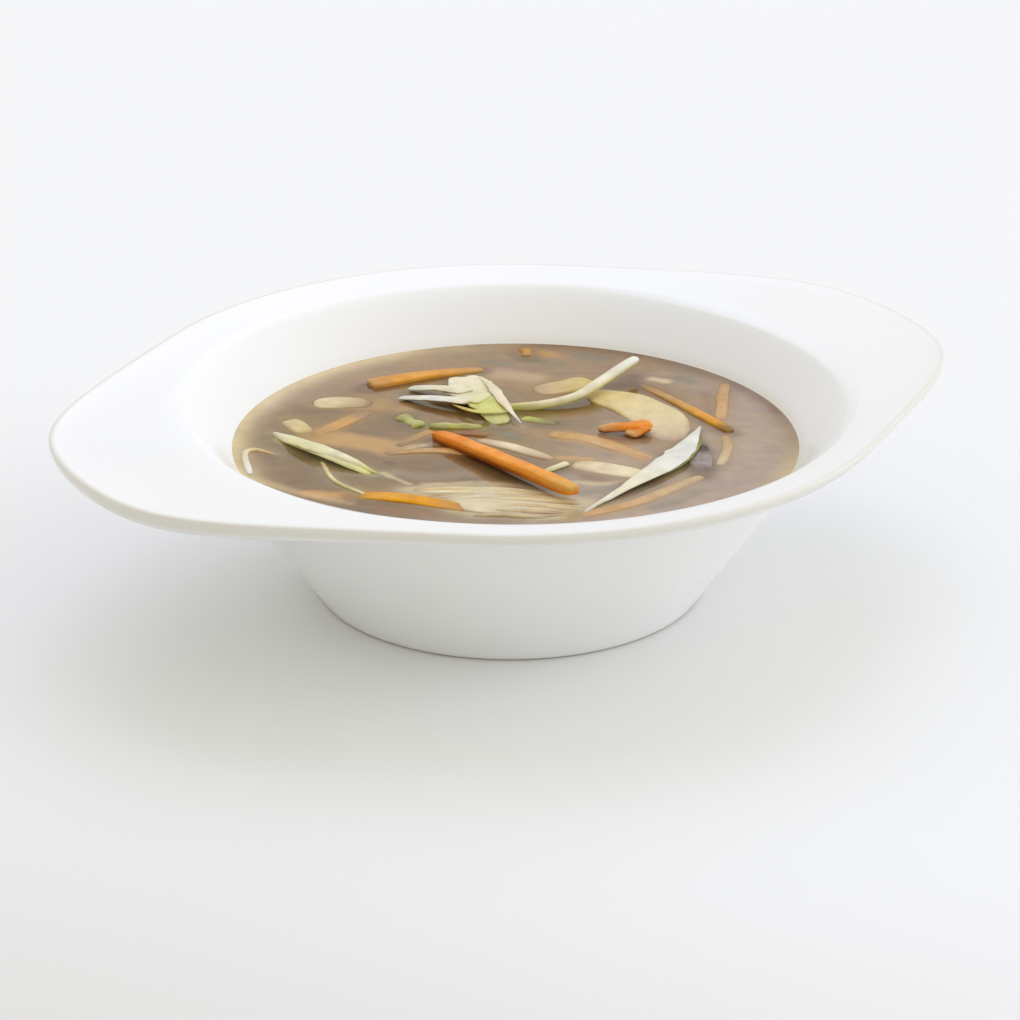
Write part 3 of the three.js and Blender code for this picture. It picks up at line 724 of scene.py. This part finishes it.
def makeSlices():
    slices = {
        "bamboo_slice_big": [dict(
            path=[[18.2, 28, 1.4], [29, 19, 1], [34.4, 7, 0.4], [34.2, -4.4, -0.25]], width=12.5,
            depth=2.6, outline="fan", hues="bambooYellow bambooCream bambooBlush", veil=(0, 0, 0.1, 0.5),
            raised=0.1)],
        "bamboo_slice_back": [dict(
            path=[[5.4, 29.6, 0.6], [13, 32.6, 0.9], [17.6, 37.6, 0.7]], width=7, depth=2.4,
            hues="bambooBlush bambooYellow bambooYellow", veil=(0.4, 0.1, 0.1))],
        "bamboo_slice_left": [dict(
            path=[[-43.6, 22, 0.7], [-36, 22.4, 0.5], [-27, 21.6, -0.4]], width=6.8, depth=2.4,
            hues="bambooCream bambooCream bambooBlush", veil=(0, 0.1, 0.5, 0.9), raised=0.1)],
        "bamboo_slice_edge": [dict(
            path=[[-48.6, 12, 0.4], [-44, 4, 0.2]], width=5.4, depth=2, hues="bambooCream bambooYellow",
            veil=0.15, raised=0.15)],
        "bamboo_slice_front": [dict(
            path=[[13, -13.6, 0.2], [21, -16.8, 0.3], [29.4, -20.6, 0.3]], width=6.4, depth=2.2,
            hues="bambooBlush bambooPale bambooPale", veil=(0.2, 0.05), raised=0.2)],
        "bamboo_strip_middle": [dict(
            path=[[-7.4, 0.4, 0.3], [1, -4.8, 0.5], [9.4, -11.4, 0.3]], width=3.3, depth=1.8,
            hues="bambooBlush bambooPale bambooBlush", veil=(0.3, 0.1, 0.5), raised=0.15)],
    }
    makeFood(slices, dict(rings=110, sides=60, ridge=0.05, ridgeWave=0.7, lump=0.08, lumpWave=5.0, thin=0.3,
                          blunt=3.5, shade=0.5, under="bambooGold"), "shootFlesh", "bamboo", 6000)


def makeStrands():
    singles = {
        "leek_tendril": [dict(
            path=[[-40.1, -12.8, 0.3], [-36.8, -23.6, 0.4], [-30.2, -31, 0.3]], width=1.1, depth=0.9,
            hues="noodleTan noodlePale greenPale noodlePale")],
        "noodle_strip_front": [dict(
            path=[[14.6, -42.6, 0.1], [26.4, -35.2, 0.2], [40.8, -20.6, 0.1]], width=3.6, depth=1.6,
            hues="carrotTan carrotTan noodleTan noodleTan", veil=0.2, raised=0.2)],
        "noodle_strip_right": [dict(
            path=[[46.8, 2.4, 0.1], [47, -5, 0.2], [44.8, -14.6, 0.1]], width=2.3, depth=1.5,
            hues="carrotTan noodleTan noodlePale", veil=0.25, raised=0.2)],
    }
    makeFood(singles, dict(sides=28, ridge=0.02, lump=0.07, corner=0.75, shade=0.3), "noodleFlesh",
             "noodle", 7000)
    bundle = dict(strands=17, farRow=-28.4, rowsDeep=14.6, left=-24, leftRun=18, right=9, rightBulge=6,
                  depth=1.4, strand=dict(rings=60, sides=20, corner=0.8, blunt=4, ridge=0.02, lump=0.1,
                                         shade=0.12),
                  hues=("noodlePale noodleWhite noodlePale", "noodleTan noodlePale noodlePale",
                        "noodleWhite noodlePale noodleTan"))
    shells = [morsel(7600, [[-16, -33, 0.2], [-2, -35, 0.5], [12, -36.4, 0.2]], 13, 1.8,
                     "noodlePale noodleWhite noodlePale noodleTan", outline="blade", shade=0, veil=0.12,
                     blunt=3, waver=0.4)]
    draw = np.random.default_rng(5)
    for k in range(bundle["strands"]):
        share = k / (bundle["strands"] - 1)
        left = bundle["left"] + bundle["leftRun"] * share + draw.uniform(-2.5, 2.5)
        right = bundle["right"] + bundle["rightBulge"] * math.sin(math.pi * share) + draw.uniform(-3, 3)
        away = bundle["farRow"] - bundle["rowsDeep"] * share
        path = [[left, away + draw.uniform(-0.6, 1.4), 0.1],
                [(2 * left + right) / 3, away + 0.8 + draw.uniform(-0.5, 0.5), 0.3 + draw.uniform(0, 0.25)],
                [(left + 2 * right) / 3, away + draw.uniform(-0.5, 0.5), 0.35 + draw.uniform(0, 0.25)],
                [right, away - 2 * (1 - share) + draw.uniform(-0.8, 0.8), 0.1]]
        shells.append(morsel(7700 + k, path, draw.uniform(1.0, 2.4), bundle["depth"], bundle["hues"][k % 3],
                             veil=draw.uniform(0, 0.2) + 0.35 * share ** 2, **bundle["strand"]))
    makePiece("noodle_bundle_piece", shells, flesh["noodleFlesh"], "noodle", "noodle_bundle")
    mushroom = {
        "mushroom_slice": [dict(
            path=[[40.6, -2, 0.1], [40.8, -10, 0.1], [41.2, -18.4, 0.1]], width=4.6, depth=1.8,
            hues="mushroomDark mushroomDark mushroomGrey mushroomGrey mushroomDark",
            under="mushroomDark")],
    }
    makeFood(mushroom, dict(raised=0.2, lump=0.25, lumpWave=3.0, blunt=4), "mushroomFlesh", "mushroom",
             9000)


makeCarrots()
makeLeaves()
makeSlices()
makeStrands()
print("garnish made:", len(footprints), "shapes")


# The soup.

def footprintDistance(x, y, piece):
    # how far each point lies outside a piece's outline, negative inside, and the nearest place along it
    gapX = x[:, None] - piece["line"][None, :, 0]
    gapY = y[:, None] - piece["line"][None, :, 1]
    outside = np.hypot(gapX, gapY) - piece["half"][None]
    nearest = outside.argmin(1)
    return outside[np.arange(len(x)), nearest], nearest


sunken = [  # what shows through the soup, and painted shadows of the garnish: path, width, colour, how plainly, softness of its edge
    ([[-42, 2.5], [-34, -0.5], [-25, -4.5]], 8, "carrotTan", 0.7, 1.8),
    ([[-35, 21.5], [-24, 20.5]], 6, "carrotPink", 0.6, 2.0),
    ([[-21.3, -4], [-16, -1.8], [-9.6, -2.4]], 2.2, "noodlePale", 0.6, 0.8),
    ([[-42, -30.4], [-34.4, -31.4], [-29, -31.4]], 3.5, "carrotGold", 0.6, 1.4),
    ([[-27, -19], [-21.2, -25.1]], 1.3, "noodlePale", 0.7, 0.6),
    ([[-50, -0.5], [-46, -4.5]], 1.8, "carrotDeep", 0.8, 0.8),
    ([[-58.2, -11.5], [-56.4, -17]], 2.4, "carrotUnder", 0.7, 1.2),
    ([[-18, -25.5], [-6, -24], [4, -26.5]], 1.2, "noodlePale", 0.45, 0.7),
    ([[-9.2, -26], [-3.9, -24.8]], 1, "greenDark", 0.55, 0.6),
    ([[8, 28], [12.6, 26.7]], 2.4, "carrotOlive", 0.5, 1.0),
    ([[-14, -12], [-6, -16], [0, -22]], 5, "brothTeal", 0.25, 2.5),
    ([[-48.2, 31], [-47.6, 33]], 2.2, "carrotOlive", 0.8, 0.8),
    ([[21, 3.2], [27, 0.9]], 1.8, "leafCream", 0.8, 0.6),
    ([[32.2, 37.8], [35.3, 36.5]], 2.6, "noodlePale", 0.7, 0.9),
    ([[10.8, -10.2], [16.8, -11.2]], 2.2, "carrotPink", 0.8, 0.9),
    ([[11.7, -33.9], [15.5, -37]], 5, "leafCream", 0.55, 1.6),
    ([[4.2, -43.4], [11.6, -43.4]], 1.6, "leafHeart", 0.7, 0.8),
    ([[-2.2, 41], [5.1, 38.4]], 6, "bambooBlush", 0.35, 2.0),
    ([[3.3, 50.2], [7.9, 49.5]], 2.4, "greenDark", 0.5, 1.2),
    ([[17.1, 52.4], [21.7, 51]], 5, "brothTeal", 0.6, 2.0),
    ([[2.4, 57], [9, 54]], 4, "carrotAmber", 0.4, 1.5),
    ([[-54, -22.5], [-44, -29.8], [-33, -35.5]], 2.2, "noodleTan", 0.6, 1.4),
    ([[-27, -38.2], [-16, -41]], 3, "carrotUnder", 0.35, 1.4),
    ([[-14, -42.5], [2, -44.4]], 3, "brothShade", 0.4, 1.6),
    ([[-2.5, 12.5], [1, 14]], 3, "greenDark", 0.5, 1.0),
    ([[-2, 5], [1, 1.3]], 2.4, "greenTeal", 0.7, 0.8),
    # the next seven are painted shadows that the garnish casts on the soup
    ([[20.5, 32.8], [27.5, 31.5]], 5, "brothCastShadow", 0.75, 1.2),
    ([[-18.7, 18.2], [-10.7, 16.4]], 3.4, "brothShade", 0.7, 1.0),
    ([[-47, -6.2], [-40.3, -11.8], [-33, -17.5]], 4, "brothCastShadow", 0.5, 1.2),
    ([[-6, -9], [2.2, -20], [8.5, -28]], 4.6, "brothShade", 0.8, 1.2),
    ([[-2.5, -14], [1.1, -18.4], [5, -23]], 2.6, "brothRust", 0.95, 1.2),
    ([[15.7, -21.6], [25.3, -25.1]], 2.6, "brothShade", 0.45, 1.0),
    ([[31.6, -25.1], [27.1, -33.9]], 3.4, "brothTeal", 0.5, 1.2),
    ([[-18.7, -3.2], [-13.6, -2.5], [-8.6, -3.2]], 1.1, "leafCream", 0.5, 0.6),
    ([[-26.3, -12.7], [-24.9, -13.4]], 1.6, "brothRust", 0.55, 0.6),
    ([[-21.3, -27.6], [-9.6, -25.3], [1.9, -26.0]], 1.8, "noodlePale", 0.4, 1.0),
    ([[-24.0, -19.1], [-16.5, -20.7], [-9.0, -19.1]], 4, "brothMauve", 0.4, 2.0),
    ([[-5.4, 48.8], [0.4, 47.3]], 3, "greenTeal", 0.45, 1.2),
    ([[-3.6, 30.9], [0.0, 25.7]], 3.2, "brothTeal", 0.5, 1.4),
    ([[1.8, 51.5], [10.6, 48.0]], 4.4, "greenTeal", 0.35, 1.8),
    ([[37.8, 38.1], [41.0, 36.2]], 3.4, "greenTeal", 0.4, 1.4),
    ([[23.8, 32.8], [26.9, 31.7]], 3.6, "carrotOlive", 0.75, 0.9),
    ([[9.0, 21.7], [17.5, 25.0]], 4, "mushroomGrey", 0.4, 1.8),
    ([[11.6, 1.0], [18.9, -2.5], [24.5, -6.9]], 2.6, "carrotTan", 0.5, 1.2),
    ([[13.8, -24.0], [19.3, -25.0], [24.7, -23.0]], 1.6, "noodlePale", 0.45, 0.9),
    ([[15.2, -30.5], [22.7, -27.3], [30.2, -25.3]], 3, "greenTeal", 0.35, 1.4),
    ([[29.7, -38.6], [34.7, -34.7], [39.9, -28.9]], 2.6, "brothTeal", 0.45, 1.4),
    ([[43.9, 28.3], [44.2, 17.3]], 2.4, "brothShade", 0.4, 1.2),
    ([[49.7, 37.7], [55.2, 28.7], [59.3, 17.0]], 1.6, "carrotOlive", 0.45, 1.0),
]


def paintSoup(x, y):
    # colour and height of the soup's surface: broth, sunk pieces, painted shadows by the garnish, golden
    # edge with a painted shadow of the wall at the back right
    look = dict(ragged=0.5, glowWidth=1.3, glowShow=0.35, glowTone=0.8, shadowWidth=1.6, shadowShow=0.5,
                shadowShift=(0.5, 1.4), pieceClimb=0.15, pieceWidth=0.6, wallClimb=0.2, climbWidth=0.8,
                rightFrom=-35, rightTo=15, rightWander=12, goldWidth=3.3, goldShow=0.95, rightShow=0.8,
                goldUneven=0.3, haze=0.22, hazeWidth=6.5)
    colour = brothAt(x, y)
    for path, width, hue, show, soft in sunken:
        line = dict(line=curveAt(path, np.linspace(0, 1, 30))[0], half=np.full(30, width / 2))
        out = footprintDistance(x, y, line)[0] + look["ragged"] * cloudy(x, y, 31, 3)
        colour = mix(colour, paint(hue), show * smooth(soft, -soft, out))
    height = np.zeros_like(x)
    for piece in footprints:
        out, nearest = footprintDistance(x, y, piece)
        bottom, top = piece["bottom"][nearest], piece["top"][nearest]
        glow = look["glowShow"] * np.exp(-np.maximum(out, 0) / look["glowWidth"])
        colour = mix(colour, piece["hue"] * look["glowTone"], glow * smooth(1.5, 0, bottom))
        # painted shadow: the soup darkens beside each piece's outline moved towards the front left
        cast = footprintDistance(x + look["shadowShift"][0], y + look["shadowShift"][1], piece)[0]
        dark = look["shadowShow"] * piece["shade"]
        dark = dark * np.exp(-(np.maximum(cast, 0) / look["shadowWidth"]) ** 2)
        colour = mix(colour, paint("brothCastShadow"), dark)
        touching = smooth(0.5, -0.2, bottom) * smooth(0.4, 1.2, top)
        climb = touching * look["pieceClimb"] * np.exp(-np.abs(out) / look["pieceWidth"])
        height = np.maximum(height, climb)
    fromWall = np.maximum(0, soupRadius - np.hypot(x - hollowShift[0], y - hollowShift[1]))
    right = smooth(look["rightFrom"], look["rightTo"], x + look["rightWander"] * cloudy(x, y, 43, 8))
    haze = look["haze"] * (1 - right) * smooth(-30, 0, y) * np.exp(-(fromWall / look["hazeWidth"]) ** 2)
    colour = mix(colour, paint("brothGold"), haze)
    # towards the back right the edge turns to a painted shadow of the wall, as seen reflected in the soup
    edge = mix(paint("brothGold"), paint("brothWallShade"), right * smooth(-30, 20, y))
    band = mix(look["goldShow"], look["rightShow"], right)[..., 0]
    band = band * np.exp(-(fromWall / look["goldWidth"]) ** 2)
    band = band * (1 + look["goldUneven"] * cloudy(x, y, 41, 6))
    colour = mix(colour, edge, np.clip(band, 0, 1))
    return colour, height + look["wallClimb"] * np.exp(-fromWall / look["climbWidth"])


def makeSoup():
    # a polar grid: the painted surface out to just inside the wall, then wall and floor back to the middle
    grid = dict(rings=132, columns=570, reach=0.9, sunk=0.15, spacing=3.0)
    radius = np.linspace(0, soupRadius + grid["reach"], grid["rings"] + 1)[1:, None]
    angle = np.linspace(0, 2 * np.pi, grid["columns"], endpoint=False)[None]
    x, y = roundHollow(radius, angle)
    across, away = seated(x, y, -seatTurn)
    colour, height = paintSoup(across.ravel(), away.ravel())
    surface = np.stack([x, y, soupLevel + height.reshape(x.shape)], axis=-1)
    wall = [[innerWall(soupLevel - 1) + grid["sunk"], soupLevel - 1]]
    below = refined(np.concatenate([wall, floorCurve(-grid["sunk"])]), grid["spacing"])[:, None, :]
    side = np.stack([*roundHollow(below[..., 0], angle), below[..., 1] + 0 * angle], axis=-1)
    rings = np.concatenate([surface, side])
    deep = np.broadcast_to(paint("brothOlive"), side.shape)
    tone = np.concatenate([colour.reshape(*x.shape, 3), deep])
    makePiece("soup_piece", [dict(rings=rings, tone=tone, grain=rings)], brothMaterial(), "broth", "soup")


makeSoup()
print("soup made")


# Floor, light and camera.

def stageMaterial():
    # pale paper with painted shade, darker and a little warmer towards the front left, and very faint
    # cloudiness
    look = dict(pale=(0.84, 0.84, 0.83), dim=(0.69, 0.68, 0.645), dimFrom=0.07, dimTo=0.24, across=-0.45,
                away=-0.9, uneven=0.06)
    material, tree = newMaterial("paleFloor")
    place = addNode(tree, "ShaderNodeTexCoord").outputs["Object"]
    spot = noiseOf(tree, place, 3.0, 1.0)
    # painted shade: the floor darkens and warms towards the front left
    toDim = (*seated(look["across"], look["away"]), 0)
    reach = vectorOf(tree, "DOT_PRODUCT", place, toDim)["Value"]
    share = rangeOf(tree, reach, look["dimFrom"], look["dimTo"], way="SMOOTHSTEP")
    share = addNode(tree, "ShaderNodeMath", {0: spot, 1: look["uneven"], 2: share},
                    operation="MULTIPLY_ADD").outputs[0]
    colour = blendOf(tree, share, (*look["pale"], 1), (*look["dim"], 1))
    giveSurface(tree, {"Base Color": colour, "Roughness": 0.6})
    return material


def makeStage():
    # a flat square just under the foot
    half, below = 2.5, -2e-5
    corners = [(-half, -half, below), (half, -half, below), (half, half, below), (-half, half, below)]
    mesh = bpy.data.meshes.new("floor")
    mesh.from_pydata(corners, [], [(0, 1, 2, 3)])
    mesh.materials.append(stageMaterial())
    floor = bpy.data.objects.new("floor", mesh)
    bpy.context.scene.collection.objects.link(floor)


def panelOfLight(tree, along, panel):
    # a soft round patch of sky: full within one angle of its middle and gone beyond another
    azimuth, elevation = math.radians(panel["azimuth"]) + seatTurn, math.radians(panel["elevation"])
    level = math.cos(elevation)
    middle = (math.cos(azimuth) * level, math.sin(azimuth) * level, math.sin(elevation))
    facing = vectorOf(tree, "DOT_PRODUCT", along, middle)["Value"]
    gone, full = math.cos(math.radians(panel["gone"])), math.cos(math.radians(panel["full"]))
    share = rangeOf(tree, facing, gone, full, way="SMOOTHSTEP")
    return addNode(tree, "ShaderNodeVectorMath", {0: panel["colour"], "Scale": share},
                   operation="SCALE").outputs[0]


def makeLights():
    # a warm room all round, a bright cool window low on the right and a cooler one high at the back
    room = (0.865, 0.855, 0.79)
    panels = [
        dict(azimuth=0, elevation=8, full=10, gone=45, colour=(1.78, 1.88, 2.16)),
        dict(azimuth=90, elevation=55, full=10, gone=35, colour=(0.78, 0.86, 1.36)),
    ]
    world = bpy.data.worlds.new("paleRoom")
    world.use_nodes = True
    tree = world.node_tree
    along = addNode(tree, "ShaderNodeTexCoord").outputs["Generated"]
    total = room
    for panel in panels:
        total = vectorOf(tree, "ADD", total, panelOfLight(tree, along, panel))[0]
    tree.links.new(total, tree.nodes["Background"].inputs["Color"])
    bpy.context.scene.world = world
    bpy.context.scene.view_settings.view_transform = "Standard"


def makeCamera():
    # the diner's view, raised by the elevation and looking at the target
    view = dict(elevation=22.39, distance=0.8, target=(0, 0, 0.02), lens=129.46, shiftX=0.0004,
                shiftY=-0.0136)
    raised = math.radians(view["elevation"])
    x, y = seated(0, -math.cos(raised))
    camera = bpy.data.cameras.new("camera")
    camera.lens = view["lens"]
    camera.shift_x = view["shiftX"]
    camera.shift_y = view["shiftY"]
    holder = bpy.data.objects.new("camera", camera)
    back = Vector((x, y, math.sin(raised)))
    holder.location = Vector(view["target"]) + back * view["distance"]
    holder.rotation_euler = (-back).to_track_quat("-Z", "Y").to_euler()
    bpy.context.scene.collection.objects.link(holder)
    bpy.context.scene.camera = holder


makeStage()
makeLights()
makeCamera()
print("stage, lights and camera made")
